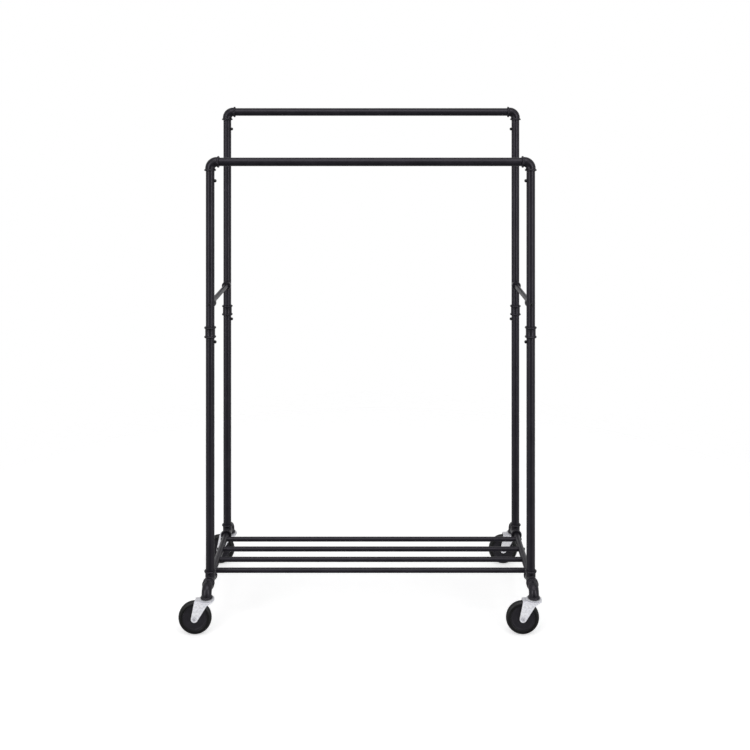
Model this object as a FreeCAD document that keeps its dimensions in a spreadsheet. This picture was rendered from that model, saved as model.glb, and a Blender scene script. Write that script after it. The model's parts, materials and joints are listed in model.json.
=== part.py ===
"""Rolling clothes rack: two hanging rails at two heights on a black pipe frame with a rod shelf and four casters.

Millimetres. +X runs along the rails to the right, +Y to the back, +Z up. The origin is on the floor, midway
between the four posts. Sub-parts that repeat are named by place: front or rear, then left or right.
"""

import FreeCAD, Part
import math
import os
import re

import Sketcher

from FreeCAD import Placement, Rotation, Vector

# Every driving dimension, in millimetres. Each becomes one named cell of the spreadsheet.
DIMENSIONS = {
    # Layout, between axes or above the floor
    "rack_width": 1000,
    "rack_depth": 340,
    "front_rail_height": 1438,
    "rear_rail_height": 1594.6,
    "joint_height": 907,
    "crossbar_height": 995,
    "base_height": 137,
    # Tubes and bars
    "tube_radius": 13.4,
    "tube_wall": 1.2,
    "bar_radius": 8,
    "bar_wall": 1.5,
    "side_bar_radius": 10.3,
    "side_bar_wall": 2,
    "shelf_rod_count": 4,
    "shelf_rod_pitch": 75,
    # Ringed pipe fittings: reach is from the corner to the mouth, a bead is the ring rolled at each mouth
    "fitting_radius": 15.4,
    "tee_branch_radius": 15.1,
    "fitting_reach": 28.5,
    "bend_radius": 20,
    "bead_radius": 3.2,
    "bead_circle": 15.3,
    "bead_inset": 3.2,
    "passage_radius": 10.2,
    "coupling_half": 17.5,
    # Play between a part and the socket or hole that it is fixed in
    "socket_gap": 0.1,
    "end_gap": 0.3,
    # Threaded nipple between each base tee and its caster elbow
    "caster_reach": 63,
    "nipple_radius": 10.5,
    "nipple_bore": 8,
    "thread_depth": 10,
    # Inner sleeves that line up the post joints, with their dome-headed locking screws
    "sleeve_wall": 1.4,
    "top_sleeve_depth": 75,
    "joint_sleeve_above": 14,
    "joint_sleeve_below": 46,
    "top_screw_drop": 59,
    "joint_screw_drop": 30.5,
    "shank_radius": 3,
    "screw_head_radius": 5,
    "screw_head_height": 6.5,
    "screw_round": 4,
    "screw_shank": 7,
    # Button-headed bolts through the posts and the side bars into the tapped bar ends
    "bolt_head_radius": 4.8,
    "bolt_head_height": 3,
    "bolt_round": 2.4,
    "crossbar_bolt_shank": 45,
    "shelf_bolt_shank": 36,
    "tapped_depth": 26,
    "hex_key": 2.3,
    "hex_key_depth": 1.8,
    # Collars where the crossbars meet the posts
    "collar_radius": 15.5,
    "collar_tip_radius": 14.5,
    "collar_length": 14,
    # Casters: trail is from the swivel axis to the wheel's axle
    "caster_trail": 35,
    "wheel_radius": 50.8,
    "tread_width": 20,
    "tread_round": 9.5,
    "tyre_bore": 37,
    "hub_half_width": 12,
    "axle_radius": 4,
    "sleeve_radius": 5.5,
    "running_gap": 0.06,
    "axle_head_radius": 5.8,
    "axle_head_height": 2.6,
    "fork_inner_half": 12.5,
    "fork_plate": 2.2,
    "crown_top": 104.8,
    "crown_radius": 24,
    "crown_back": 35,
    "crown_front": 22,
    "fork_eye_radius": 10.5,
    "fork_throat_x": 2,
    "fork_throat_z": 90,
    "fork_border": 2.6,
    "fork_recess": 0.6,
    # Swivel bearing: one row of balls between the crown and the cup above it
    "ball_radius": 1.6,
    "ball_circle": 16,
    "ball_count": 12,
    "ball_height": 105.55,
    "cup_radius": 23.5,
    "cup_bottom": 106.3,
    "cup_top": 108.4,
    "stem_radius": 5,
    "stem_top": 132,
    "stem_head_radius": 8,
    "stem_head_bottom": 95.6,
    "stem_head_height": 4,
    "stem_flange_radius": 10,
    "stem_flange_height": 2.6,
}

doc = FreeCAD.newDocument("RollingClothesRack")
sheet = doc.addObject("Spreadsheet::Sheet", "Dimensions")
for row, (alias, size) in enumerate(DIMENSIONS.items(), start=1):
    sheet.set(f"A{row}", alias)
    sheet.set(f"B{row}", str(size))
    sheet.setAlias(f"B{row}", alias)
doc.recompute()

NODES = []  # (document object, how many solids it holds)
SIDES = {"left": -1, "right": 1}
ENDS = {"front": -1, "rear": 1}
TO_X = Rotation(Vector(0, 0, 1), Vector(1, 0, 0))
TO_MINUS_X = Rotation(Vector(0, 0, 1), Vector(-1, 0, 0))
TO_Y = Rotation(Vector(0, 0, 1), Vector(0, 1, 0))
TO_MINUS_Y = Rotation(Vector(0, 0, 1), Vector(0, -1, 0))
UPRIGHT = Rotation()
HALF_TURN = Rotation(Vector(0, 0, 1), 180)
QUARTER_TURN = Rotation(Vector(0, 0, 1), 90)
BACK_QUARTER_TURN = Rotation(Vector(0, 0, 1), -90)


# ---- Expressions, placements and nodes ----


def spell(expression):
    """An expression in which every dimension's name refers to its cell."""
    return re.sub(r"[a-z_]+", lambda word: f"Dimensions.{word[0]}" if word[0] in DIMENSIONS else word[0], expression)


def number(expression):
    """What an expression comes to now, in millimetres."""
    return float(sheet.evalExpression(spell(expression)))


def bind(item, **expressions):
    """Drives properties of an object by expressions."""
    for name, expression in expressions.items():
        item.setExpression(name, spell(expression))


def place(item, x="0", y="0", z="0", turn=UPRIGHT):
    """Turns an object and puts its own origin at three expressions."""
    item.Placement = Placement(Vector(number(x), number(y), number(z)), turn)
    for axis, expression in zip("xyz", (x, y, z)):
        item.setExpression(f"Placement.Base.{axis}", spell(expression))
    return item


def node(item, solids=1):
    """Marks an object as a sub-part that gets a file of its own."""
    NODES.append((item, solids))
    return item


def signed(sign, expression):
    """An expression on the side of the middle plane that sign says."""
    return f"{sign} * ({expression})"


def post_x(side):
    return signed(SIDES[side], "rack_width / 2")


def post_y(end):
    return signed(ENDS[end], "rack_depth / 2")


def stem_y(end):
    return signed(ENDS[end], "rack_depth / 2 + caster_reach")


def corners():
    """The four corners of the rack, as (end, side)."""
    return [(end, side) for end in ENDS for side in SIDES]


# ---- Sketches and features ----


def new_body(label):
    body = doc.addObject("PartDesign::Body", label)
    body.Label = label
    return body


def origin_plane(body, role):
    return next(plane for plane in body.Origin.OriginFeatures if plane.Role == role)


def new_sketch(body, role, offset=None):
    """A sketch on one of the body's own origin planes, or offset from it along the plane's normal."""
    sketch = body.newObject("Sketcher::SketchObject", f"{body.Name}_sketch")
    sketch.AttachmentSupport = (origin_plane(body, role), [""])
    sketch.MapMode = "FlatFace"
    if offset:
        sketch.setExpression("AttachmentOffset.Base.z", spell(offset))
    return sketch


def limit(sketch, kind, *where, to):
    """Adds one dimension to a sketch and drives it by an expression."""
    index = sketch.addConstraint(Sketcher.Constraint(kind, *where, number(to)))
    sketch.setExpression(f"Constraints[{index}]", spell(to))


def pin(sketch, geometry, vertex, x, y):
    """Holds one point of a sketch at two expressions from the sketch's origin."""
    limit(sketch, "DistanceX", -1, 1, geometry, vertex, to=x)
    limit(sketch, "DistanceY", -1, 1, geometry, vertex, to=y)


def flat(x, y):
    return Vector(number(x), number(y), 0)


def draw_circle(sketch, radius, x="0", y="0"):
    circle = Part.Circle(flat(x, y), Vector(0, 0, 1), number(radius))
    index = sketch.addGeometry(circle, False)
    pin(sketch, index, 3, x, y)
    limit(sketch, "Radius", index, to=radius)


def draw_outline(sketch, points):
    """A closed outline of straight edges; each point is a pair of expressions."""
    places = [flat(x, y) for x, y in points]
    first = sketch.GeometryCount
    for start, stop in zip(places, places[1:] + places[:1]):
        sketch.addGeometry(Part.LineSegment(start, stop), False)
    for step, (x, y) in enumerate(points):
        edge = first + step
        previous = first + (step - 1) % len(points)
        pin(sketch, edge, 1, x, y)
        sketch.addConstraint(Sketcher.Constraint("Coincident", previous, 2, edge, 1))


def draw_hexagon(sketch, apothem):
    """A hexagonal key's outline about the sketch's origin."""
    angles = [math.radians(30 + 60 * corner) for corner in range(6)]
    factors = [(round(math.cos(a), 6), round(math.sin(a), 6)) for a in angles]
    size = f"({apothem}) / cos(30 deg)"
    draw_outline(sketch, [(f"{size} * ({u})", f"{size} * ({v})") for u, v in factors])


def feature(body, kind, sketch, **settings):
    """One sketch-based feature at the tip of a body."""
    made = body.newObject(f"PartDesign::{kind}", f"{body.Name}_{kind.lower()}")
    made.Profile = sketch
    sketch.Visibility = False
    for name, setting in settings.items():
        setattr(made, name, setting)
    return made


def pad(body, sketch, length, **settings):
    made = feature(body, "Pad", sketch, **settings)
    bind(made, Length=length)
    return made


def spin(body, sketch, kind="Revolution", axis="V_Axis"):
    """A full turn of a sketch about one of its own axes, adding or (kind Groove) removing."""
    return feature(body, kind, sketch, ReferenceAxis=(sketch, [axis]), Angle=360)


def cut_through(body, sketch):
    """A pocket through everything, both ways from the sketch."""
    return feature(body, "Pocket", sketch, Type="ThroughAll", Midplane=True)


def round_edges(body, base, radius, chosen):
    """Fillets the edges of a feature that the function chosen picks."""
    doc.recompute()
    names = [f"Edge{i}" for i, edge in enumerate(base.Shape.Edges, start=1) if chosen(edge)]
    fillet = body.newObject("PartDesign::Fillet", f"{body.Name}_fillet")
    fillet.Base = (base, names)
    bind(fillet, Radius=radius)
    return fillet


def circles_of(radius, where=lambda centre: True):
    """Picks the round edges of one radius whose centre passes a test."""
    size = number(radius)

    def chosen(edge):
        curve = edge.Curve
        if curve.TypeId != "Part::GeomCircle":
            return False
        return abs(curve.Radius - size) < 1e-4 and where(curve.Center)

    return chosen


# ---- Part primitives, for the fittings ----


def cylinder(radius, height, turn=UPRIGHT, x="0", y="0", z="0"):
    """A cylinder from a point, along +Z before the turn."""
    made = doc.addObject("Part::Cylinder", "cylinder")
    bind(made, Radius=radius, Height=height)
    return place(made, x, y, z, turn)


def torus(circle, section, sweep=360, turn=UPRIGHT, x="0", y="0", z="0"):
    made = doc.addObject("Part::Torus", "torus")
    bind(made, Radius1=circle, Radius2=section, Angle3=str(sweep))
    return place(made, x, y, z, turn)


def bead(turn=UPRIGHT, **where):
    """The ring rolled round a fitting's mouth."""
    return torus("bead_circle", "bead_radius", turn=turn, **where)


def joined(label, shapes):
    made = doc.addObject("Part::MultiFuse", label)
    made.Shapes = shapes
    return made


def cut_from(label, solid, tool):
    made = doc.addObject("Part::Cut", label)
    made.Label = label
    made.Base = solid
    made.Tool = tool
    return made


def group(label, members):
    """Separate solids kept as one node."""
    made = doc.addObject("Part::Compound", label)
    made.Label = label
    made.Links = members
    return node(made, solids=len(members))


# ---- Rails and posts ----


def draw_tube(sketch, radius, wall):
    draw_circle(sketch, radius)
    draw_circle(sketch, f"{radius} - {wall}")


def top_rail(end):
    """A hanging rail, which stops inside the sockets of its two elbows."""
    body = node(new_body(f"{end}_top_rail"))
    sketch = new_sketch(body, "YZ_Plane")
    draw_tube(sketch, "tube_radius", "tube_wall")
    pad(body, sketch, "rack_width - 2 * (bend_radius + end_gap)", Midplane=True)
    place(body, y=post_y(end), z=f"{end}_rail_height")


def screw_hole(body, height):
    """A hole through the wall on the +X side, at a height in the body's own frame."""
    sketch = new_sketch(body, "YZ_Plane")
    draw_circle(sketch, "shank_radius + socket_gap", y=height)
    hole = feature(body, "Pocket", sketch, Reversed=True)
    bind(hole, Length="tube_radius + 1")


def tube_post(label, length):
    body = node(new_body(label))
    sketch = new_sketch(body, "XY_Plane")
    draw_tube(sketch, "tube_radius", "tube_wall")
    pad(body, sketch, length)
    return body


def inward(side):
    """The turn that faces a post's +X side towards the middle of the rack."""
    return UPRIGHT if side == "left" else HALF_TURN


def upper_post(end, side):
    """From the coupling to the top elbow, with a screw hole near the top and a crossbar bolt hole."""
    foot = "joint_height + end_gap"
    top = f"{end}_rail_height"
    body = tube_post(f"upper_post_{end}_{side}", f"{top} - bend_radius - end_gap - ({foot})")
    screw_hole(body, f"{top} - top_screw_drop - ({foot})")
    sketch = new_sketch(body, "XZ_Plane")
    draw_circle(sketch, "shank_radius + socket_gap", y=f"crossbar_height - ({foot})")
    cut_through(body, sketch)
    place(body, post_x(side), post_y(end), foot, inward(side))


def lower_post(end, side):
    """From the base tee to the coupling, with a screw hole just below the coupling."""
    foot = "base_height + bend_radius + end_gap"
    body = tube_post(f"lower_post_{end}_{side}", f"joint_height - end_gap - ({foot})")
    screw_hole(body, f"joint_height - joint_screw_drop - ({foot})")
    place(body, post_x(side), post_y(end), foot, inward(side))


def inner_sleeve(name, end, side, foot, length, hole_height):
    """A tube inside a post joint, with the hole of its locking screw."""
    body = new_body(f"{name}_{end}_{side}")
    sketch = new_sketch(body, "XY_Plane")
    draw_tube(sketch, "tube_radius - tube_wall - socket_gap", "sleeve_wall")
    pad(body, sketch, length)
    screw_hole(body, f"{hole_height} - ({foot})")
    return place(body, post_x(side), post_y(end), foot, inward(side))


def inner_sleeves():
    """Four under the top elbows and four through the couplings."""
    sleeves = []
    for end, side in corners():
        rail = f"{end}_rail_height"
        sleeves.append(inner_sleeve(
            "top_sleeve", end, side, f"{rail} - top_sleeve_depth",
            "top_sleeve_depth - bend_radius - end_gap", f"{rail} - top_screw_drop"))
        sleeves.append(inner_sleeve(
            "joint_sleeve", end, side, "joint_height - joint_sleeve_below",
            "joint_sleeve_below + joint_sleeve_above", "joint_height - joint_screw_drop"))
    group("inner_sleeves", sleeves)


# ---- Screws and bolts: the shank runs down from the origin and the head stands above it ----


def headed_screw(label, head, shank):
    """A round-topped head on a plain shank. The head's sizes are the cells HEAD_radius, HEAD_height, HEAD_round."""
    body = new_body(label)
    size = "screw_head" if head == "screw" else "bolt_head"
    sketch = new_sketch(body, "XZ_Plane")
    draw_outline(sketch, [
        ("0", f"-({shank})"), ("shank_radius", f"-({shank})"), ("shank_radius", "0"),
        (f"{size}_radius", "0"), (f"{size}_radius", f"{size}_height"), ("0", f"{size}_height")])
    turned = spin(body, sketch)
    top = number(f"{size}_height")
    round_edges(body, turned, f"{head}_round", circles_of(f"{size}_radius", lambda centre: centre.z > top - 0.01))
    key = new_sketch(body, "XY_Plane", offset=f"{size}_height")
    draw_hexagon(key, "hex_key")
    bind(feature(body, "Pocket", key), Length="hex_key_depth")
    return body


def post_screws():
    """Eight dome heads on the inner sides of the posts, under the top elbows and under the couplings."""
    screws = []
    for end, side in corners():
        heights = {"top": f"{end}_rail_height - top_screw_drop", "joint": "joint_height - joint_screw_drop"}
        for level, height in heights.items():
            screw = headed_screw(f"{level}_screw_{end}_{side}", "screw", "screw_shank")
            face = signed(SIDES[side], "rack_width / 2 - tube_radius")
            screws.append(place(screw, face, post_y(end), height, TO_X if side == "left" else TO_MINUS_X))
    group("post_screws", screws)


def crossbar_bolts():
    """One bolt through each post, along Y, into the crossbar behind it."""
    bolts = []
    for end, side in corners():
        bolt = headed_screw(f"crossbar_bolt_{end}_{side}", "bolt", "crossbar_bolt_shank")
        face = signed(ENDS[end], "rack_depth / 2 + tube_radius")
        bolts.append(place(bolt, post_x(side), face, "crossbar_height", TO_MINUS_Y if end == "front" else TO_Y))
    group("crossbar_bolts", bolts)


def rod_y(index):
    """Where a shelf rod lies along Y, counted from the front."""
    return f"({index} - (shelf_rod_count - 1) / 2) * shelf_rod_pitch"


def shelf_rod_bolts():
    """One bolt through each side bar, along X, into each end of each shelf rod."""
    bolts = []
    for side, sign in SIDES.items():
        for index in range(DIMENSIONS["shelf_rod_count"]):
            bolt = headed_screw(f"shelf_bolt_{side}_{index + 1}", "bolt", "shelf_bolt_shank")
            face = signed(sign, "rack_width / 2 + side_bar_radius")
            bolts.append(place(bolt, face, rod_y(index), "base_height", TO_X if side == "right" else TO_MINUS_X))
    group("shelf_rod_bolts", bolts)


# ---- Bars ----


def capped_bar(label, half_span, seat_radius):
    """A tubular bar along X with a tapped plug welded in either end, long enough to be coped afterwards."""
    body = node(new_body(label))
    sketch = new_sketch(body, "XZ_Plane")
    reach = f"{half_span} - {seat_radius} / 2"
    plug = f"{half_span} - {seat_radius} - tapped_depth"
    hollow = "bar_radius - bar_wall"
    bore = "shank_radius + socket_gap"
    draw_outline(sketch, [
        (f"-({plug})", hollow), (plug, hollow), (plug, bore), (reach, bore), (reach, "bar_radius"),
        (f"-({reach})", "bar_radius"), (f"-({reach})", bore), (f"-({plug})", bore)])
    spin(body, sketch, axis="H_Axis")
    return body


def cope(body, role, half_span, seat_radius):
    """Hollows both ends of a bar to the round surface of what they meet."""
    sketch = new_sketch(body, role)
    for sign in (-1, 1):
        draw_circle(sketch, f"{seat_radius} + socket_gap", x=signed(sign, half_span))
    cut_through(body, sketch)


def side_crossbar(side):
    """The bar between a side's front and rear upper posts, which are upright tubes."""
    body = capped_bar(f"side_crossbar_{side}", "rack_depth / 2", "tube_radius")
    cope(body, "XY_Plane", "rack_depth / 2", "tube_radius")
    place(body, post_x(side), "0", "crossbar_height", QUARTER_TURN)


def shelf_rod(index):
    """A shelf rod between the two side bars, which run along Y."""
    body = capped_bar(f"shelf_rod_{index + 1}", "rack_width / 2", "side_bar_radius")
    cope(body, "XZ_Plane", "rack_width / 2", "side_bar_radius")
    place(body, "0", rod_y(index), "base_height")


def base_side_bar(side):
    """The bar between a side's two tees, drilled across for the shelf rods' bolts."""
    body = node(new_body(f"base_side_bar_{side}"))
    sketch = new_sketch(body, "XZ_Plane")
    draw_tube(sketch, "side_bar_radius", "side_bar_wall")
    pad(body, sketch, "rack_depth - 2 * (fitting_radius + end_gap)", Midplane=True)
    hole = new_sketch(body, "YZ_Plane")
    draw_circle(hole, "shank_radius + socket_gap", x=rod_y(0))
    first = cut_through(body, hole)
    row = body.newObject("PartDesign::LinearPattern", f"{body.Name}_row")
    row.Originals = [first]
    row.Direction = (hole, ["H_Axis"])
    bind(row, Length="(shelf_rod_count - 1) * shelf_rod_pitch", Occurrences="shelf_rod_count")
    body.Tip = row
    place(body, post_x(side), "0", "base_height")


def crossbar_collar(end, side):
    """A ring on the crossbar's end with a bevelled tip, hollowed to sit against the post."""
    body = new_body(f"crossbar_collar_{end}_{side}")
    sketch = new_sketch(body, "XY_Plane")
    bore = "bar_radius + socket_gap"
    tip = "tube_radius + collar_length"
    draw_outline(sketch, [
        (bore, "tube_radius - 3"), ("collar_radius", "tube_radius - 3"), ("collar_radius", f"{tip} - 3"),
        ("collar_tip_radius", tip), (bore, tip)])
    spin(body, sketch)
    seat = new_sketch(body, "XY_Plane")
    draw_circle(seat, "tube_radius + socket_gap")
    cut_through(body, seat)
    return place(body, post_x(side), post_y(end), "crossbar_height", UPRIGHT if end == "front" else HALF_TURN)


# ---- Ringed pipe fittings ----


def elbow_solid():
    """A quarter bend from a mouth along +X to a mouth along -Z, with its corner at the origin and no bore."""
    leg = "fitting_reach - bend_radius"
    ring = "fitting_reach - bead_inset"
    return joined("elbow_solid", [
        elbow_bend("fitting_radius"),
        cylinder("fitting_radius", leg, TO_X, x="bend_radius"),
        cylinder("fitting_radius", leg, z="-fitting_reach"),
        bead(TO_X, x=ring),
        bead(z=f"-({ring})")])


def elbow_bend(section):
    """The bent stretch between an elbow's two legs."""
    turn = Rotation(Vector(0, 0, 1), Vector(-1, 0, 0), Vector(0, -1, 0), "ZXY")
    return torus("bend_radius", section, 90, turn, x="bend_radius", z="-bend_radius")


def tube_socket(turn=UPRIGHT, **where):
    """The bore that takes a tube's end, from the bend out past the mouth."""
    return cylinder("tube_radius + socket_gap", "fitting_reach - bend_radius + 1", turn, **where)


def top_elbows():
    """Each joins a hanging rail to its post."""
    solid = elbow_solid()
    bores = joined("top_elbow_bores", [
        elbow_bend("passage_radius"),
        tube_socket(TO_X, x="bend_radius"),
        tube_socket(z="-(fitting_reach + 1)")])
    for end, side in corners():
        elbow = node(cut_from(f"top_elbow_{end}_{side}", solid, bores))
        place(elbow, post_x(side), post_y(end), f"{end}_rail_height", inward(side))


def nipple_socket(turn, **where):
    """The tapped bore for a nipple, as a cylinder that starts at the bore's bottom and passes the mouth."""
    return cylinder("nipple_radius + socket_gap", "thread_depth + 1", turn, **where)


def base_elbows():
    """Each turns down from its tee and holds a caster's stem."""
    solid = elbow_solid()
    bores = joined("base_elbow_bores", [
        nipple_socket(TO_X, x="fitting_reach - thread_depth"),
        cylinder("stem_radius + socket_gap", "stem_top + end_gap - (base_height - fitting_reach - 1)",
                 z="-(fitting_reach + 1)")])
    for end, side in corners():
        elbow = node(cut_from(f"base_elbow_{end}_{side}", solid, bores))
        turn = QUARTER_TURN if end == "front" else BACK_QUARTER_TURN
        place(elbow, post_x(side), stem_y(end), "base_height", turn)


def base_tees():
    """Each takes a post above, a side bar on its inner side and a nipple on its outer side."""
    ring = "fitting_reach - bead_inset"
    solid = joined("tee_solid", [
        cylinder("fitting_radius", "2 * fitting_reach", TO_Y, y="-fitting_reach"),
        cylinder("tee_branch_radius", "fitting_reach"),
        bead(z=ring),
        bead(TO_Y, y=ring),
        bead(TO_Y, y=f"-({ring})")])
    bores = joined("tee_bores", [
        tube_socket(z="bend_radius"),
        cylinder("passage_radius", "bend_radius + 1"),
        cylinder("nipple_bore", "2 * fitting_reach", TO_Y, y="-fitting_reach"),
        cylinder("side_bar_radius + socket_gap", "fitting_reach - fitting_radius + 1", TO_Y, y="fitting_radius"),
        nipple_socket(TO_MINUS_Y, y="-(fitting_reach - thread_depth)")])
    for end, side in corners():
        tee = node(cut_from(f"base_tee_{end}_{side}", solid, bores))
        place(tee, post_x(side), post_y(end), "base_height", UPRIGHT if end == "front" else HALF_TURN)


def base_nipples():
    """Short threaded pipes that show as a dark gap between each tee and its caster elbow."""
    nipples = []
    for end, side in corners():
        body = new_body(f"base_nipple_{end}_{side}")
        sketch = new_sketch(body, "XZ_Plane")
        draw_circle(sketch, "nipple_radius")
        draw_circle(sketch, "nipple_bore")
        pad(body, sketch, "caster_reach - 2 * (fitting_reach - thread_depth + end_gap)", Midplane=True)
        middle = signed(ENDS[end], "rack_depth / 2 + caster_reach / 2")
        nipples.append(place(body, post_x(side), middle, "base_height"))
    group("base_nipples", nipples)


def couplings():
    """Each joins an upper post to a lower one, with a bead at either mouth."""
    ring = "coupling_half - bead_inset"
    solid = joined("coupling_solid", [
        cylinder("fitting_radius", "2 * coupling_half", z="-coupling_half"),
        bead(z=ring),
        bead(z=f"-({ring})")])
    bore = cylinder("tube_radius + socket_gap", "2 * coupling_half + 2", z="-(coupling_half + 1)")
    for end, side in corners():
        coupling = node(cut_from(f"coupling_{end}_{side}", solid, bore))
        place(coupling, post_x(side), post_y(end), "joint_height")


# ---- Casters: the swivel axis is the body's Z axis, the floor is at 0 and the wheel trails towards -X ----


def draw_fork_leg(sketch, eye_radius, points):
    """A leg's outline: straight edges through points, closed by an arc round the axle that they meet smoothly."""
    x = "-caster_trail"
    z = "wheel_radius"
    places = [flat(u, v) for u, v in points]
    centre = flat(x, z)
    radius = number(eye_radius)
    leave = [tangent_angle(centre, radius, places[-1], -1), tangent_angle(centre, radius, places[0], 1)]
    touch = [centre + radius * Vector(math.cos(a), math.sin(a), 0) for a in leave]
    chain = [touch[1], *places, touch[0]]
    for start, stop in zip(chain, chain[1:]):
        sketch.addGeometry(Part.LineSegment(start, stop), False)
    last = len(points)
    for edge in range(last):
        sketch.addConstraint(Sketcher.Constraint("Coincident", edge, 2, edge + 1, 1))
        pin(sketch, edge + 1, 1, *points[edge])
    circle = Part.Circle(centre, Vector(0, 0, 1), radius)
    arc = sketch.addGeometry(Part.ArcOfCircle(circle, leave[1], leave[0] + 2 * math.pi), False)
    pin(sketch, arc, 3, x, z)
    limit(sketch, "Radius", arc, to=eye_radius)
    sketch.addConstraint(Sketcher.Constraint("Tangent", arc, 1, 0, 1))
    sketch.addConstraint(Sketcher.Constraint("Tangent", arc, 2, last, 2))


def tangent_angle(centre, radius, point, turn):
    """The direction from a circle's centre to where a line from a point touches it."""
    away = point - centre
    return math.atan2(away.y, away.x) + turn * math.acos(radius / away.Length)


def caster_fork(end, side):
    """A pressed fork: two bordered legs under a crown with the lower ball track."""
    body = node(new_body(f"caster_fork_{end}_{side}"))
    outer_half = "fork_inner_half + fork_plate"
    crown_bottom = "crown_top - fork_plate"
    legs = new_sketch(body, "XZ_Plane")
    draw_fork_leg(legs, "fork_eye_radius", [
        ("-crown_back", "crown_top"), ("crown_front", "crown_top"), ("crown_front", crown_bottom),
        ("fork_throat_x", "fork_throat_z")])
    pad(body, legs, f"2 * ({outer_half})", Midplane=True)
    slot = new_sketch(body, "XZ_Plane")
    back = "-(caster_trail + wheel_radius)"
    draw_outline(slot, [(back, "0"), ("wheel_radius", "0"), ("wheel_radius", crown_bottom), (back, crown_bottom)])
    gap = feature(body, "Pocket", slot, Midplane=True)
    bind(gap, Length="2 * fork_inner_half")
    edge_y = number(outer_half)
    top = number("crown_top")
    round_edges(body, gap, "fork_plate - 0.5", lambda edge: all(
        abs(abs(v.Point.y) - edge_y) < 0.01 and abs(v.Point.z - top) < 0.01 for v in edge.Vertexes))
    crown = new_sketch(body, "XZ_Plane")
    draw_outline(crown, [
        ("0", crown_bottom), ("crown_radius - 1", crown_bottom), ("crown_radius", f"{crown_bottom} + 1"),
        ("crown_radius", "crown_top"), ("0", "crown_top")])
    spin(body, crown)
    track = new_sketch(body, "XZ_Plane")
    draw_circle(track, "ball_radius + running_gap", x="ball_circle", y="ball_height")
    spin(body, track, "Groove")
    swivel = new_sketch(body, "XY_Plane")
    draw_circle(swivel, "stem_radius + running_gap")
    cut_through(body, swivel)
    axle = new_sketch(body, "XZ_Plane")
    draw_circle(axle, "axle_radius + socket_gap", x="-caster_trail", y="wheel_radius")
    cut_through(body, axle)
    panel = new_sketch(body, "XZ_Plane", offset=f"{outer_half} - fork_recess")
    draw_fork_leg(panel, "fork_eye_radius - fork_border", [
        ("fork_border - crown_back", f"{crown_bottom} - fork_border"),
        ("fork_throat_x - fork_border", f"{crown_bottom} - fork_border"),
        ("fork_throat_x - fork_border", "fork_throat_z")])
    recess = feature(body, "Pocket", panel, Reversed=True)
    bind(recess, Length="2 * fork_recess")
    both = body.newObject("PartDesign::Mirrored", f"{body.Name}_mirrored")
    both.Originals = [recess]
    both.MirrorPlane = (origin_plane(body, "XZ_Plane"), [""])
    body.Tip = both
    place(body, post_x(side), stem_y(end), "0")


def caster_stem(end, side):
    """The swivel pin: a head and flange under the crown and a threaded shank up into the elbow."""
    body = new_body(f"caster_stem_{end}_{side}")
    sketch = new_sketch(body, "XZ_Plane")
    head_top = "stem_head_bottom + stem_head_height"
    flange_top = f"{head_top} + stem_flange_height"
    draw_outline(sketch, [
        ("0", "stem_head_bottom"), ("stem_head_radius", "stem_head_bottom"), ("stem_head_radius", head_top),
        ("stem_flange_radius", head_top), ("stem_flange_radius", flange_top), ("stem_radius", flange_top),
        ("stem_radius", "stem_top"), ("0", "stem_top")])
    spin(body, sketch)
    return place(body, post_x(side), stem_y(end), "0")


def caster_cup(end, side):
    """The fixed upper half of the swivel bearing, clamped under the elbow."""
    body = new_body(f"caster_cup_{end}_{side}")
    sketch = new_sketch(body, "XZ_Plane")
    bore = "stem_radius + socket_gap"
    draw_outline(sketch, [
        (bore, "cup_bottom"), ("cup_radius", "cup_bottom"), ("cup_radius", "cup_top - 1.2"),
        ("cup_radius - 1.2", "cup_top"), (bore, "cup_top")])
    spin(body, sketch)
    track = new_sketch(body, "XZ_Plane")
    draw_circle(track, "ball_radius + running_gap", x="ball_circle", y="ball_height")
    spin(body, track, "Groove")
    return place(body, post_x(side), stem_y(end), "0")


def bearing_balls():
    """The rows of balls of all four swivels."""
    balls = []
    for end, side in corners():
        for index in range(DIMENSIONS["ball_count"]):
            ball = doc.addObject("Part::Sphere", "bearing_ball")
            bind(ball, Radius="ball_radius")
            angle = f"{index} * 360 deg / ball_count"
            x = f"{post_x(side)} + ball_circle * cos({angle})"
            y = f"{stem_y(end)} + ball_circle * sin({angle})"
            balls.append(place(ball, x, y, "ball_height"))
    group("caster_bearing_balls", balls)


def axle_bolt(end, side):
    """The axle's headed bolt, along Z, with the wheel's middle plane at the origin and the head on top."""
    body = new_body(f"axle_bolt_{end}_{side}")
    sketch = new_sketch(body, "XZ_Plane")
    seat = "fork_inner_half + fork_plate"
    tail = f"-({seat} + axle_head_height + 4)"
    top = f"{seat} + axle_head_height"
    draw_outline(sketch, [
        ("0", tail), ("axle_radius", tail), ("axle_radius", seat), ("axle_head_radius", seat),
        ("axle_head_radius", top), ("0", top)])
    turned = spin(body, sketch)
    height = number(top)
    round_edges(body, turned, "axle_head_height - 0.8",
                circles_of("axle_head_radius", lambda centre: centre.z > height - 0.01))
    key = new_sketch(body, "XY_Plane", offset=top)
    draw_hexagon(key, "hex_key")
    bind(feature(body, "Pocket", key), Length="hex_key_depth")
    return body


def axle_nut(end, side):
    """The hexagonal nut on the axle's tail."""
    body = new_body(f"axle_nut_{end}_{side}")
    sketch = new_sketch(body, "XY_Plane", offset="-(fork_inner_half + fork_plate)")
    draw_hexagon(sketch, "axle_head_radius + 0.7")
    draw_circle(sketch, "axle_radius + socket_gap")
    pad(body, sketch, "axle_head_height + 2.4", Reversed=True)
    return body


def axle_sleeve(end, side):
    """The spacer that the wheel turns on, clamped between the fork's legs."""
    body = new_body(f"axle_sleeve_{end}_{side}")
    sketch = new_sketch(body, "XY_Plane")
    draw_circle(sketch, "sleeve_radius")
    draw_circle(sketch, "axle_radius + socket_gap")
    pad(body, sketch, "2 * (fork_inner_half - socket_gap)", Midplane=True)
    return body


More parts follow.
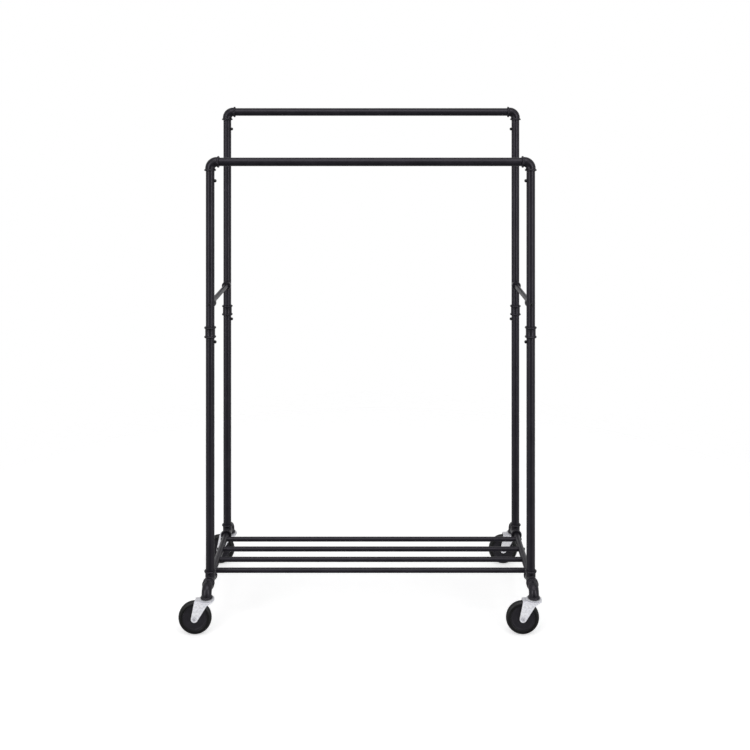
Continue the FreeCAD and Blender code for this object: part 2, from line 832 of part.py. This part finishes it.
def caster_axle(end, side):
    """Bolt, nut and spacer, which the fork carries."""
    axle = group(f"caster_axle_{end}_{side}", [axle_bolt(end, side), axle_nut(end, side), axle_sleeve(end, side)])
    place(axle, f"{post_x(side)} - caster_trail", stem_y(end), "wheel_radius", TO_MINUS_Y)


def wheel_hub(end, side):
    """A moulded hub: boss, dished web and a rim that seats the tyre. It turns about the body's Y axis."""
    body = node(new_body(f"wheel_hub_{end}_{side}"))
    sketch = new_sketch(body, "XY_Plane")
    bore = "sleeve_radius + running_gap"
    rim = "tyre_bore - socket_gap"
    lip = "tread_width / 2 - 1"
    web = "tread_width / 2 - 3"
    half = [(bore, "hub_half_width"), (f"{bore} + 3.5", "hub_half_width"), (f"{bore} + 5.5", web),
            (f"{rim} - 4.5", web), (f"{rim} - 3", lip), (rim, lip)]
    mirrored = [(x, f"-({y})") for x, y in reversed(half)]
    draw_outline(sketch, half + mirrored)
    spin(body, sketch)
    place(body, f"{post_x(side)} - caster_trail", stem_y(end), "wheel_radius")


def wheel_tyre(end, side):
    """A solid tyre with rounded shoulders, about the body's Y axis."""
    body = node(new_body(f"wheel_tyre_{end}_{side}"))
    sketch = new_sketch(body, "XY_Plane")
    edge = "tread_width / 2"
    draw_outline(sketch, [
        ("tyre_bore", f"-({edge} - 0.6)"), ("tyre_bore + 3", f"-({edge})"), ("wheel_radius", f"-({edge})"),
        ("wheel_radius", edge), ("tyre_bore + 3", edge), ("tyre_bore", f"{edge} - 0.6")])
    turned = spin(body, sketch)
    round_edges(body, turned, "tread_round", circles_of("wheel_radius"))
    place(body, f"{post_x(side)} - caster_trail", stem_y(end), "wheel_radius")


# ---- The rack ----


def build_frame():
    for end in ENDS:
        top_rail(end)
    top_elbows()
    for end, side in corners():
        upper_post(end, side)
        lower_post(end, side)
    couplings()
    inner_sleeves()
    post_screws()
    for side in SIDES:
        side_crossbar(side)
        base_side_bar(side)
    group("crossbar_collars", [crossbar_collar(end, side) for end, side in corners()])
    crossbar_bolts()
    base_tees()
    base_nipples()
    base_elbows()
    for index in range(DIMENSIONS["shelf_rod_count"]):
        shelf_rod(index)
    shelf_rod_bolts()


def build_casters():
    group("caster_stems", [caster_stem(end, side) for end, side in corners()])
    group("caster_cups", [caster_cup(end, side) for end, side in corners()])
    bearing_balls()
    for end, side in corners():
        caster_fork(end, side)
        caster_axle(end, side)
        wheel_hub(end, side)
        wheel_tyre(end, side)


def check_document():
    """Stops if any object failed to compute or a sub-part isn't the sound solids that it should be."""
    for item in doc.Objects:
        if {"Invalid", "Error"} & set(item.State):
            raise RuntimeError(f"{item.Label} did not compute: {item.State}")
    for item, solids in NODES:
        shape = item.Shape
        if shape.isNull() or not shape.isValid() or len(shape.Solids) != solids:
            raise RuntimeError(f"{item.Label} is not {solids} sound solids")


def write_nodes():
    os.makedirs("parts", exist_ok=True)
    for item, _ in NODES:
        item.Shape.exportStep(f"parts/{item.Label}.step")
    print(f"{len(NODES)} sub-parts written")


build_frame()
build_casters()
doc.recompute()
check_document()
write_nodes()
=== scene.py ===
"""Looks of the rolling clothes rack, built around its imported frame. Metres, +X right, +Y back, +Z up."""

import json
import math

import bmesh
import bpy
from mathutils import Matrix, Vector


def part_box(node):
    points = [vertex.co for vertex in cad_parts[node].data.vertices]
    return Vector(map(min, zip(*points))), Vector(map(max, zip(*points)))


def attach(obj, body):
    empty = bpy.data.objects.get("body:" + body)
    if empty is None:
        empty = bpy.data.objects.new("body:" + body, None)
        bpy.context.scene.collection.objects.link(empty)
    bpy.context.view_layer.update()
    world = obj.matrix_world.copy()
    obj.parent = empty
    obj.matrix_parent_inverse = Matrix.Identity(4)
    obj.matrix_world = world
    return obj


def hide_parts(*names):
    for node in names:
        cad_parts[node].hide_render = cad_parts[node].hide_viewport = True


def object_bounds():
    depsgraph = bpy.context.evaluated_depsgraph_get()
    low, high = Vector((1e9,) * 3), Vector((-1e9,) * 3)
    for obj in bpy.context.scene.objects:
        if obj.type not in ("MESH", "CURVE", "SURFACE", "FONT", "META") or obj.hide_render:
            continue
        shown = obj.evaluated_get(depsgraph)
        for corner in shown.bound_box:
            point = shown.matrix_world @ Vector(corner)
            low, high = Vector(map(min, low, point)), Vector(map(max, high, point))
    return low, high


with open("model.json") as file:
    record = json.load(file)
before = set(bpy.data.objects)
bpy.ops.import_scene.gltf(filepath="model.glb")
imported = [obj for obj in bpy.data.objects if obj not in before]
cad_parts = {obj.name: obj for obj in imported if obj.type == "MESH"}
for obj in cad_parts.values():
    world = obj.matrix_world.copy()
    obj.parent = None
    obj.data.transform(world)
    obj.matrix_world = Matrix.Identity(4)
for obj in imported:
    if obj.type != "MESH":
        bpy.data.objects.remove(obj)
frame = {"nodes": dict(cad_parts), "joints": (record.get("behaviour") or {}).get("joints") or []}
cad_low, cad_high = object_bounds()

MM = 0.001
ACROSS, DEEP, UP = Vector((1, 0, 0)), Vector((0, 1, 0)), Vector((0, 0, 1))
CORNERS = [(end, side) for end in ("front", "rear") for side in ("left", "right")]
JOINTS = {joint["name"]: Vector(joint["pos_m"]) for joint in frame["joints"]}

# Ringed fittings, in millimetres: from a bend's corner to its mouth, the radius of the bend and of the
# body, the rolled bead at each mouth, then each kind of socket's radius and depth
REACH = 28.5
BEND = 20
BODY = 15.4
BEAD_CIRCLE, BEAD_SECTION, BEAD_INSET = 15.3, 3.2, 3.2
BEAD_FILLET = 1.2
TUBE_BORE, TUBE_SEAT = 13.5, 8.5
NIPPLE_BORE, NIPPLE_SEAT = 10.6, 10
STEM_BORE, STEM_SEAT = 5.1, 23.8
LIP = 0.5
COUPLING_HALF = 17.5

# Caster wheels, in millimetres; the mould line stands out where the shoulder reaches MOULD_STEP
TREAD_RADIUS = JOINTS["wheel_spin_front_left"].z / MM
TREAD_HALF, TREAD_ROUND = 10, 9.5
SHOULDER_STEPS = 24
MOULD_LINE, MOULD_STEP = 0.45, 7

# Caster profiles: (along the axis, radius, fillet) in millimetres, from the cup's underside or the wheel's
# middle
CUP = [(0, 5.1, 0), (0, 19.4, 0.4), (0.7, 20.2, 0.4), (0.7, 23.5, 0.4), (1.6, 23.5, 0.6), (2.1, 20.5, 1.0),
       (2.1, 5.1, 0)]
HUB = [(-12.0, 5.56, 0), (-12.0, 9.1, 0.8), (-8.3, 11.0, 1.2), (-8.0, 19.0, 0.8), (-8.2, 20.0, 0.5),
       (-8.4, 31.4, 1.0), (-9.2, 33.6, 0.8), (-9.1, 36.9, 0.3)]
TYRE_SIDE = [(-9.4, 37.0, 0), (-9.9, 37.9, 0.5), (-9.7, 39.3, 0.4), (-10.0, 39.9, 0.3), (-10.0, 41.0, 0)]

# Fineness of the meshes: points round a ring, steps along a curve, and voxels in millimetres
RING_FITTING, RING_CUP, RING_HUB, RING_TYRE = 48, 72, 96, 120
BEAD_STEPS, FILLET_STEPS, BEND_STEPS = 14, 4, 12
SHARP_DEG = 38
TEE_VOXEL, TEE_PASSES = 0.7, 6
FORK_VOXEL, FORK_PASSES = 0.55, 3


# ---- Places ----


def middle(node):
    low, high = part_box(node)
    return (low + high) / 2


def corner_point(end, side, rail=None):
    """Where a post's axis meets a rail's, or the side bar's if no rail is named."""
    post = middle(f"lower_post_{end}_{side}")
    level = middle(rail or f"base_side_bar_{side}").z
    return Vector((post.x, post.y, level))


# ---- Meshes ----


def finish_mesh(name, mesh):
    """An object from a bmesh, with smooth faces that break at sharp edges."""
    bmesh.ops.recalc_face_normals(mesh, faces=mesh.faces)
    data = bpy.data.meshes.new(name)
    mesh.to_mesh(data)
    mesh.free()
    data.shade_smooth()
    data.set_sharp_from_angle(angle=math.radians(SHARP_DEG))
    return linked(name, data)


def linked(name, data):
    piece = bpy.data.objects.new(name, data)
    bpy.context.scene.collection.objects.link(piece)
    return piece


def ring(centre, u, v, radius, count):
    """Points of a circle in the plane of u and v, or its centre alone where the radius is 0."""
    if radius == 0:
        return [centre]
    turns = [2 * math.pi * i / count for i in range(count)]
    return [centre + radius * (math.cos(t) * u + math.sin(t) * v) for t in turns]


def skin(mesh, loops, closed=False):
    """Adds faces through successive loops; a loop of one point closes an end."""
    rows = [[mesh.verts.new(point) for point in loop] for loop in loops]
    following = rows[1:] + rows[:1] if closed else rows[1:]
    for row, other in zip(rows, following):
        count = max(len(row), len(other))
        for i in range(count):
            j = (i + 1) % count
            quad = [row[i % len(row)], row[j % len(row)], other[j % len(other)], other[i % len(other)]]
            mesh.faces.new(dict.fromkeys(quad))


def rounded(points):
    """Draws each fillet of a profile of (along, radius, fillet) corners as a short curve."""
    drawn = []
    for index, (s, r, fillet) in enumerate(points):
        here = Vector((s, r))
        if not fillet:
            drawn.append(here)
            continue
        before = Vector(points[index - 1][:2]) - here
        after = Vector(points[(index + 1) % len(points)][:2]) - here
        start = here + before.normalized() * min(fillet, before.length / 2)
        stop = here + after.normalized() * min(fillet, after.length / 2)
        for step in range(FILLET_STEPS + 1):
            t = step / FILLET_STEPS
            drawn.append(start * (1 - t) ** 2 + here * 2 * t * (1 - t) + stop * t ** 2)
    return [(p.x, p.y) for p in drawn]


def lathe(mesh, origin, axis, profile, count):
    """Turns a closed profile of (along, radius) in millimetres about an axis through the origin given."""
    u = axis.orthogonal().normalized()
    v = axis.cross(u)
    loops = [ring(origin + axis * s * MM, u, v, r * MM, count) for s, r in profile]
    skin(mesh, loops, closed=True)


# ---- Ringed fittings ----


def bead():
    """(depth from the mouth, radius) over the rolled ring at a mouth and down a small fillet to the body."""
    reach = BEAD_SECTION + BEAD_FILLET
    rise = BODY + BEAD_FILLET - BEAD_CIRCLE
    run = math.sqrt(reach ** 2 - rise ** 2)
    leave = math.atan2(rise, run)
    points = []
    for step in range(BEAD_STEPS + 1):
        turn = math.pi + (leave - math.pi) * step / BEAD_STEPS
        depth = BEAD_INSET + BEAD_SECTION * math.cos(turn)
        points.append((depth, BEAD_CIRCLE + BEAD_SECTION * math.sin(turn)))
    for step in range(1, FILLET_STEPS + 1):
        turn = math.pi + leave + (math.pi / 2 - leave) * step / FILLET_STEPS
        depth = BEAD_INSET + run + BEAD_FILLET * math.cos(turn)
        points.append((depth, BODY + BEAD_FILLET * (1 + math.sin(turn))))
    return points


def mouth(bore, seat):
    """From the bottom of a socket out to its mouth, over the bead and down to the body."""
    return [(seat, 0), (seat, bore), (LIP, bore), (0, bore + LIP), *bead()]


def elbow(mesh, corner, first, second, first_mouth, second_mouth):
    """A quarter bend between two mouths, which look along first and second from the corner."""
    normal = first.cross(second)
    loops = []
    for s, r in first_mouth:
        loops.append(ring(corner + first * (REACH - s) * MM, second, normal, r * MM, RING_FITTING))
    hub = corner + (first + second) * BEND * MM
    for step in range(BEND_STEPS + 1):
        turn = math.pi / 2 * step / BEND_STEPS
        towards = second * math.cos(turn) + first * math.sin(turn)
        loops.append(ring(hub - towards * BEND * MM, towards, normal, BODY * MM, RING_FITTING))
    for s, r in reversed(second_mouth):
        loops.append(ring(corner + second * (REACH - s) * MM, first, normal, r * MM, RING_FITTING))
    skin(mesh, loops)


def cast_from(name, node, voxel, passes):
    """A copy of a node's solid with its edges and inner corners softened, like cast or pressed metal."""
    piece = linked(name, frame["nodes"][node].data.copy())
    weld = piece.modifiers.new("weld", "WELD")
    weld.merge_threshold = 1e-6
    remesh = piece.modifiers.new("remesh", "REMESH")
    remesh.mode = "VOXEL"
    remesh.voxel_size = voxel * MM
    remesh.use_smooth_shade = True
    smooth = piece.modifiers.new("smooth", "SMOOTH")
    smooth.factor = 0.5
    smooth.iterations = passes
    made = bpy.data.meshes.new_from_object(piece.evaluated_get(bpy.context.evaluated_depsgraph_get()))
    piece.modifiers.clear()
    piece.data = made
    made.materials.clear()
    made.shade_smooth()
    return piece


def settle(piece, body, slot, *nodes):
    """Gives a new piece its finish and body, in place of the nodes named."""
    piece.data.materials.clear()
    piece.data.materials.append(FINISHES[slot])
    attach(piece, body)
    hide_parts(*nodes)


# ---- Finishes ----

COAT_TINT = (0.94, 0.88, 1.0, 1)
RANGE_SOCKETS = ("From Min", "From Max", "To Min", "To Max")


class Finish:
    """A node material whose textures all read the object's own coordinates."""

    def __init__(self, name, **sockets):
        self.material = bpy.data.materials.new(name)
        self.material.use_nodes = True
        self.nodes = self.material.node_tree.nodes
        self.links = self.material.node_tree.links
        self.shader = self.nodes["Principled BSDF"]
        self.place = self.nodes.new("ShaderNodeTexCoord").outputs["Object"]
        for socket, value in sockets.items():
            self.shader.inputs[socket.replace("_", " ")].default_value = value

    def noise(self, scale, detail=3, roughness=0.55, stretch=(1, 1, 1)):
        at = self.nodes.new("ShaderNodeMapping")
        at.inputs["Scale"].default_value = stretch
        self.links.new(self.place, at.inputs["Vector"])
        texture = self.nodes.new("ShaderNodeTexNoise")
        for socket, value in (("Scale", scale), ("Detail", detail), ("Roughness", roughness)):
            texture.inputs[socket].default_value = value
        self.links.new(at.outputs["Vector"], texture.inputs["Vector"])
        return texture.outputs["Fac"]

    def cells(self, scale):
        texture = self.nodes.new("ShaderNodeTexVoronoi")
        texture.inputs["Scale"].default_value = scale
        self.links.new(self.place, texture.inputs["Vector"])
        return texture.outputs["Distance"]

    def edges(self, low, high):
        """1 along outer edges and 0 elsewhere."""
        geometry = self.nodes.new("ShaderNodeNewGeometry")
        return self.spread(geometry.outputs["Pointiness"], low, high, 0, 1)

    def spread(self, value, low, high, to_low, to_high):
        """Stretches a value's range low to high over to_low to to_high, and holds it there."""
        node = self.nodes.new("ShaderNodeMapRange")
        for socket, number in zip(RANGE_SOCKETS, (low, high, to_low, to_high)):
            node.inputs[socket].default_value = number
        self.links.new(value, node.inputs["Value"])
        return node.outputs["Result"]

    def product(self, one, other):
        node = self.nodes.new("ShaderNodeMath")
        node.operation = "MULTIPLY"
        for socket, value in zip(node.inputs, (one, other)):
            if isinstance(value, (int, float)):
                socket.default_value = value
            else:
                self.links.new(value, socket)
        return node.outputs["Value"]

    def mix(self, share, one, other):
        """A colour between two, each a triple or another mix."""
        node = self.nodes.new("ShaderNodeMix")
        node.data_type = "RGBA"
        self.links.new(share, node.inputs["Factor"])
        for socket, colour in zip((node.inputs[6], node.inputs[7]), (one, other)):
            if isinstance(colour, tuple):
                socket.default_value = (*colour, 1)
            else:
                self.links.new(colour, socket)
        return node.outputs[2]

    def colour(self, value):
        self.links.new(value, self.shader.inputs["Base Color"])

    def roughness(self, value):
        self.links.new(value, self.shader.inputs["Roughness"])

    def bump(self, *layers):
        """Stacks bumps, each a height with its depth in millimetres and its strength."""
        before = None
        for height, depth, strength in layers:
            node = self.nodes.new("ShaderNodeBump")
            node.inputs["Strength"].default_value = strength
            node.inputs["Distance"].default_value = depth * MM
            self.links.new(height, node.inputs["Height"])
            if before:
                self.links.new(before, node.inputs["Normal"])
            before = node.outputs["Normal"]
        self.links.new(before, self.shader.inputs["Normal"])


def powder_coat():
    """Satin black powder coat on drawn tube, with the fine orange peel of a cured coat."""
    finish = Finish("powder_coat", Specular_IOR_Level=0.5, Specular_Tint=COAT_TINT)
    drift = finish.spread(finish.noise(14, 4), 0.35, 0.65, 0, 1)
    finish.colour(finish.mix(drift, (0.0095, 0.0088, 0.0122), (0.0150, 0.0139, 0.0190)))
    finish.roughness(finish.spread(finish.noise(60, 5, 0.6), 0.3, 0.7, 0.3, 0.42))
    finish.bump((finish.noise(620, 2, 0.5), 0.06, 0.35), (finish.noise(2600, 2), 0.02, 0.3))
    return finish.material


def fitting_coat():
    """The same coat over cast fittings, whose skin is coarser and rubs thin on the beads."""
    finish = Finish("fitting_coat", Specular_IOR_Level=0.5, Specular_Tint=COAT_TINT)
    drift = finish.spread(finish.noise(38, 4), 0.35, 0.65, 0, 1)
    black = finish.mix(drift, (0.0088, 0.0083, 0.0110), (0.0140, 0.0131, 0.0172))
    worn = finish.spread(finish.noise(240, 5, 0.7), 0.45, 0.7, 0, 0.6)
    rub = finish.product(finish.edges(0.53, 0.62), worn)
    finish.colour(finish.mix(rub, black, (0.06, 0.06, 0.066)))
    finish.roughness(finish.spread(finish.noise(110, 5, 0.65), 0.3, 0.7, 0.22, 0.38))
    finish.bump((finish.noise(210, 3, 0.55), 0.18, 0.35), (finish.noise(900, 3), 0.05, 0.4))
    return finish.material


def black_fastener():
    """Black-oxide screws and bolts, a little smoother than the coat round them."""
    finish = Finish("black_fastener", Metallic=0.35)
    drift = finish.spread(finish.noise(320, 3), 0.35, 0.65, 0, 1)
    finish.colour(finish.mix(drift, (0.012, 0.012, 0.014), (0.03, 0.029, 0.031)))
    finish.roughness(finish.spread(finish.noise(700, 3), 0.3, 0.7, 0.24, 0.4))
    finish.bump((finish.noise(1500, 2), 0.02, 0.35))
    return finish.material


def steel(name, light, dark, low, high, metallic=1.0):
    """Plain steel with faint turning marks; a low metallic value keeps it pale where the room is dim."""
    finish = Finish(name, Metallic=metallic)
    drift = finish.spread(finish.noise(190, 4), 0.3, 0.7, 0, 1)
    finish.colour(finish.mix(drift, dark, light))
    finish.roughness(finish.spread(finish.noise(500, 4), 0.3, 0.7, low, high))
    finish.bump((finish.noise(260, 3, stretch=(1, 1, 9)), 0.02, 0.3))
    return finish.material


def zinc_plate():
    """Bright zinc over pressed steel: pale, faintly blue, with a soft grain and slightly clouded areas."""
    finish = Finish("zinc_plate", Metallic=0.2)
    cloud = finish.spread(finish.noise(70, 4, 0.6), 0.35, 0.65, 0, 1)
    grain = finish.spread(finish.cells(620), 0.1, 0.8, 0, 1)
    plate = finish.mix(cloud, (0.87, 0.87, 0.93), (0.94, 0.94, 0.97))
    finish.colour(finish.mix(finish.product(grain, 0.25), plate, (0.82, 0.82, 0.87)))
    finish.roughness(finish.spread(finish.noise(160, 5, 0.65), 0.3, 0.7, 0.2, 0.34))
    finish.bump((finish.noise(420, 3), 0.02, 0.3), (finish.noise(90, 2), 0.08, 0.15))
    return finish.material


def tyre_rubber():
    """Solid black rubber with a matt moulded skin and a little dust on the tread."""
    finish = Finish("tyre_rubber", Specular_IOR_Level=0.5)
    dust = finish.spread(finish.noise(95, 6, 0.7), 0.5, 0.8, 0, 0.5)
    skin_colour = finish.mix(finish.spread(finish.noise(30, 3), 0.35, 0.65, 0, 1),
                             (0.0050, 0.0050, 0.0055), (0.0085, 0.0085, 0.0092))
    settled = finish.product(dust, finish.edges(0.5, 0.56))
    finish.colour(finish.mix(settled, skin_colour, (0.05, 0.048, 0.046)))
    finish.roughness(finish.spread(finish.noise(220, 5, 0.65), 0.3, 0.7, 0.3, 0.44))
    finish.bump((finish.noise(520, 3), 0.06, 0.35), (finish.noise(2200, 2), 0.02, 0.4))
    return finish.material


def hub_plastic():
    """Moulded black plastic with a fine spark-eroded texture."""
    finish = Finish("hub_plastic", Specular_IOR_Level=0.5, Specular_Tint=COAT_TINT)
    drift = finish.spread(finish.noise(45, 3), 0.35, 0.65, 0, 1)
    finish.colour(finish.mix(drift, (0.0130, 0.0126, 0.0155), (0.0185, 0.0178, 0.0215)))
    finish.roughness(finish.spread(finish.noise(150, 4), 0.3, 0.7, 0.36, 0.5))
    finish.bump((finish.cells(1500), 0.04, 0.35), (finish.noise(400, 3), 0.05, 0.25))
    return finish.material


FINISHES = {
    "powder_coat": powder_coat(),
    "fitting_coat": fitting_coat(),
    "black_fastener": black_fastener(),
    "inner_steel": steel("inner_steel", (0.20, 0.20, 0.21), (0.13, 0.13, 0.14), 0.35, 0.5),
    "zinc_plate": zinc_plate(),
    "axle_steel": steel("axle_steel", (0.66, 0.66, 0.70), (0.56, 0.56, 0.60), 0.25, 0.38, 0.2),
    "bearing_steel": steel("bearing_steel", (0.62, 0.62, 0.64), (0.5, 0.5, 0.52), 0.15, 0.25),
    "tyre_rubber": tyre_rubber(),
    "hub_plastic": hub_plastic(),
}

for name, node in frame["nodes"].items():
    for slot in node.material_slots:
        slot.material = FINISHES["axle_steel" if name.startswith("caster_axle") else slot.material.name]


# ---- Fittings ----


def build_fittings():
    tube = mouth(TUBE_BORE, TUBE_SEAT)
    for end, side in CORNERS:
        inward = ACROSS if side == "left" else -ACROSS
        outward = -DEEP if end == "front" else DEEP

        mesh = bmesh.new()
        elbow(mesh, corner_point(end, side, f"{end}_top_rail"), inward, -UP, tube, tube)
        node = f"top_elbow_{end}_{side}"
        settle(finish_mesh(f"cast_{node}", mesh), "frame", "fitting_coat", node)

        mesh = bmesh.new()
        foot = corner_point(end, side)
        foot.y = JOINTS[f"caster_swivel_{end}_{side}"].y
        elbow(mesh, foot, -outward, -UP, mouth(NIPPLE_BORE, NIPPLE_SEAT), mouth(STEM_BORE, STEM_SEAT))
        node = f"base_elbow_{end}_{side}"
        settle(finish_mesh(f"cast_{node}", mesh), "frame", "fitting_coat", node)

        node = f"coupling_{end}_{side}"
        lower = [(s - COUPLING_HALF, r) for s, r in [(LIP, TUBE_BORE), (0, TUBE_BORE + LIP), *bead()]]
        upper = [(-s, r) for s, r in reversed(lower)]
        mesh = bmesh.new()
        lathe(mesh, middle(node), UP, lower + upper, RING_FITTING)
        settle(finish_mesh(f"cast_{node}", mesh), "frame", "fitting_coat", node)

        node = f"base_tee_{end}_{side}"
        settle(cast_from(f"cast_{node}", node, TEE_VOXEL, TEE_PASSES), "frame", "fitting_coat", node)


# ---- Casters ----


def shoulder():
    """(along the axle, radius) round the tread's shoulder, from the side of the tyre to its crown."""
    start, seat = TREAD_ROUND - TREAD_HALF, TREAD_RADIUS - TREAD_ROUND
    points = []
    for step in range(1, SHOULDER_STEPS + 1):
        turn = math.pi * (1 - step / SHOULDER_STEPS / 2)
        ridge = MOULD_LINE if step == MOULD_STEP else 0
        points.append((start + TREAD_ROUND * math.cos(turn) - ridge, seat + TREAD_ROUND * math.sin(turn)))
    return points


def build_casters():
    swivels = [JOINTS[f"caster_swivel_{end}_{side}"] for end, side in CORNERS]
    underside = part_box("caster_cups")[0].z
    mesh = bmesh.new()
    for swivel in swivels:
        lathe(mesh, Vector((swivel.x, swivel.y, underside)), UP, rounded(CUP), RING_CUP)
    settle(finish_mesh("pressed_caster_cups", mesh), "frame", "zinc_plate", "caster_cups")

    pattern = cast_from("pressed_caster_fork_front_left", "caster_fork_front_left", FORK_VOXEL, FORK_PASSES)
    hub_profile = rounded(HUB) + rounded([(-s, r, f) for s, r, f in reversed(HUB)])
    half_tyre = rounded(TYRE_SIDE) + shoulder()
    tyre_profile = half_tyre + [(-s, r) for s, r in reversed(half_tyre)]
    for (end, side), swivel in zip(CORNERS, swivels):
        spin = JOINTS[f"wheel_spin_{end}_{side}"]
        piece = pattern
        if (end, side) != CORNERS[0]:
            piece = linked(f"pressed_caster_fork_{end}_{side}", pattern.data)
            piece.location = swivel - swivels[0]
        settle(piece, f"fork_{end}_{side}", "zinc_plate", f"caster_fork_{end}_{side}")

        mesh = bmesh.new()
        lathe(mesh, spin, DEEP, hub_profile, RING_HUB)
        node = f"wheel_hub_{end}_{side}"
        settle(finish_mesh(f"moulded_{node}", mesh), f"wheel_{end}_{side}", "hub_plastic", node)

        mesh = bmesh.new()
        lathe(mesh, spin, DEEP, tyre_profile, RING_TYRE)
        node = f"wheel_tyre_{end}_{side}"
        settle(finish_mesh(f"moulded_{node}", mesh), f"wheel_{end}_{side}", "tyre_rubber", node)


# ---- Floor, light and camera, in metres ----

FLOOR_RADIUS, FLOOR_GAP = 2.4, 0.0002
FADE_START, FADE_END = FLOOR_RADIUS * 0.45, FLOOR_RADIUS * 0.98
SURROUND_RADIUS = 14

# Brightness of the room by direction: (axis, from, to, brightness there), each starting from DIM
DIM = 0.05
ROOM = [("Z", -0.05, 0.35, 0.45), ("Y", 0.5, 0.85, 0.62), ("X", 0.35, 0.75, 0.35), ("X", -0.35, -0.75, 0.35)]

# Soft boxes: name, place, size and power
SOFT_BOXES = [("box_left", (-2.5, -2.9, 1.2), (1.1, 2.8), 26),
              ("box_right", (2.5, -2.9, 1.2), (1.1, 2.8), 26),
              ("box_above", (0, -1.6, 3.4), (3.2, 1.8), 26)]


def build_floor():
    """A pale disc under the rack, which fades out into the white surround."""
    mesh = bmesh.new()
    bmesh.ops.create_circle(mesh, cap_ends=True, segments=96, radius=FLOOR_RADIUS)
    floor = finish_mesh("floor", mesh)
    floor.location.z = cad_low.z - FLOOR_GAP
    finish = Finish("pale_floor", Roughness=0.7, Specular_IOR_Level=0.1, Emission_Color=(1, 1, 1, 1),
                    Emission_Strength=0.5)
    finish.colour(finish.mix(finish.noise(2, 3), (0.90, 0.90, 0.905), (0.93, 0.93, 0.93)))
    distance = finish.nodes.new("ShaderNodeVectorMath")
    distance.operation = "LENGTH"
    finish.links.new(finish.place, distance.inputs[0])
    fade = finish.spread(distance.outputs["Value"], FADE_START, FADE_END, 1, 0)
    finish.links.new(fade, finish.shader.inputs["Alpha"])
    floor.data.materials.append(finish.material)
    floor.visible_glossy = False


def build_surround():
    """A white shell far outside the rack that only the camera sees, so it throws no light on anything."""
    mesh = bmesh.new()
    bmesh.ops.create_icosphere(mesh, subdivisions=4, radius=SURROUND_RADIUS)
    shell = finish_mesh("surround", mesh)
    white = bpy.data.materials.new("white_surround")
    white.use_nodes = True
    shader = white.node_tree.nodes["Principled BSDF"]
    shader.inputs["Base Color"].default_value = (0, 0, 0, 1)
    shader.inputs["Specular IOR Level"].default_value = 0
    shader.inputs["Emission Color"].default_value = (1, 1, 1, 1)
    shader.inputs["Emission Strength"].default_value = 1
    shell.data.materials.append(white)
    for rays in ("diffuse", "glossy", "transmission", "volume_scatter", "shadow"):
        setattr(shell, f"visible_{rays}", False)


def soft_light(name, place, size, power):
    """A rectangular soft box that faces the middle of the rack."""
    lamp = bpy.data.lights.new(name, "AREA")
    lamp.shape = "RECTANGLE"
    lamp.size, lamp.size_y = size
    lamp.energy = power
    holder = linked(name, lamp)
    holder.location = place
    facing = (cad_low + cad_high) / 2 - Vector(place)
    holder.rotation_euler = facing.to_track_quat("-Z", "Y").to_euler()
    holder.visible_camera = False


def build_light():
    """Tall soft boxes left and right of the camera, and a room that is light above and behind the rack."""
    world = bpy.data.worlds.new("studio")
    bpy.context.scene.world = world
    world.use_nodes = True
    nodes, links = world.node_tree.nodes, world.node_tree.links
    towards = nodes.new("ShaderNodeSeparateXYZ")
    links.new(nodes.new("ShaderNodeTexCoord").outputs["Generated"], towards.inputs["Vector"])
    nodes["Background"].inputs["Color"].default_value = (1, 1, 1, 1)
    strength = nodes["Background"].inputs["Strength"]
    for axis, start, stop, brightness in ROOM:
        share = nodes.new("ShaderNodeMapRange")
        for socket, number in zip(RANGE_SOCKETS, (start, stop, DIM, brightness)):
            share.inputs[socket].default_value = number
        links.new(towards.outputs[axis], share.inputs["Value"])
        brighter = nodes.new("ShaderNodeMath")
        brighter.operation = "MAXIMUM"
        links.new(share.outputs["Result"], brighter.inputs[0])
        links.new(brighter.outputs["Value"], strength)
        strength = brighter.inputs[1]
    strength.default_value = DIM
    for box in SOFT_BOXES:
        soft_light(*box)
    bpy.context.scene.view_settings.view_transform = "Standard"
    bpy.context.scene.view_settings.look = "None"


def build_camera():
    """A level camera, with its horizon near the rails, whose lens is shifted down to the base."""
    camera = bpy.data.cameras.new("camera")
    camera.sensor_width = 36
    camera.lens = 46.36
    camera.shift_x = -0.0057
    camera.shift_y = -0.347
    holder = linked("camera", camera)
    holder.location = (0.0275, -3.183, 1.585)
    holder.rotation_euler = (math.radians(90), 0, 0)
    bpy.context.scene.camera = holder


build_fittings()
build_casters()
build_floor()
build_surround()
build_light()
build_camera()
